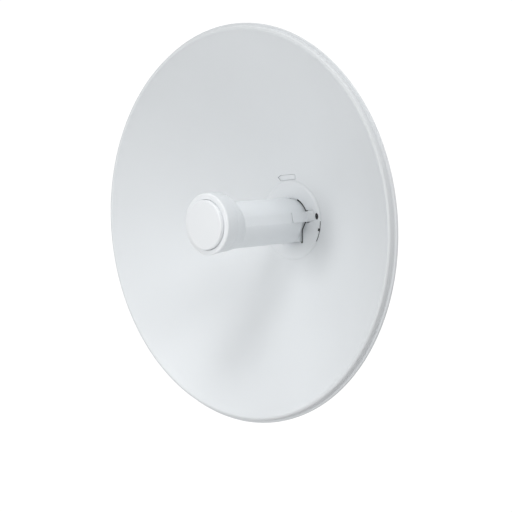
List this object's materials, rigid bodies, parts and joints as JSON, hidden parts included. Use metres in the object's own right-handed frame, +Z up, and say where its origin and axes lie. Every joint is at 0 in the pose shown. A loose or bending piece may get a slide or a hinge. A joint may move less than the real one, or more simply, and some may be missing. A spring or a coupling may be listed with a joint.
{
  "type": "parabolic dish antenna",
  "caption": "Parabolic dish antenna for a radio link: white pressed reflector, capped feed barrel on its axis, round rear housing, steel brackets and a clamp for a vertical pole.",
  "frame": {"origin": "centre of the flat rear face of the pole bracket's web, the face that looks at the pole", "axes": "+Y points at the pole, away from the dish, along the dish's own axis; -Y is the way the dish looks; +Z is up, along the pole"},
  "size_m": [0.52, 0.324, 0.52],
  "materials": {
    "white_paint": "smooth satin off-white powder coat",
    "white_plastic": "fine satin moulded white plastic",
    "cap_plastic": "smooth, slightly glossier white moulding",
    "black_rubber": "matte black seal",
    "zinc_steel": "zinc-coated pressed sheet steel, faint spangle",
    "bright_steel": "bright plated fasteners"
  },
  "bodies": {
    "root": {"reflector": "white_paint", "alignment_key": "white_plastic", "hub_disc": "white_plastic", "hub_gasket": "black_rubber", "feed_barrel": "white_plastic", "release_latch_right": "white_plastic", "release_latch_left": "white_plastic", "cap_shoulder": "cap_plastic", "cap_drum": "cap_plastic", "cap_face": "cap_plastic", "rear_housing": "white_plastic", "port_cover": "white_plastic", "cable_gland": "black_rubber", "dish_bracket": "zinc_steel", "hub_bolt_1": "bright_steel", "hub_bolt_2": "bright_steel", "hub_bolt_3": "bright_steel", "hub_bolt_4": "bright_steel", "pole_bracket": "zinc_steel", "pivot_bolt_right": "bright_steel", "pivot_bolt_left": "bright_steel", "pivot_nut_right": "bright_steel", "pivot_nut_left": "bright_steel", "lock_bolt_right": "bright_steel", "lock_bolt_left": "bright_steel", "lock_nut_right": "bright_steel", "lock_nut_left": "bright_steel", "pole_clamp": "zinc_steel", "clamp_bolt_right": "bright_steel", "clamp_bolt_left": "bright_steel", "clamp_washer_right": "bright_steel", "clamp_washer_left": "bright_steel", "clamp_nut_right": "bright_steel", "clamp_nut_left": "bright_steel"}
  },
  "joints": []
}
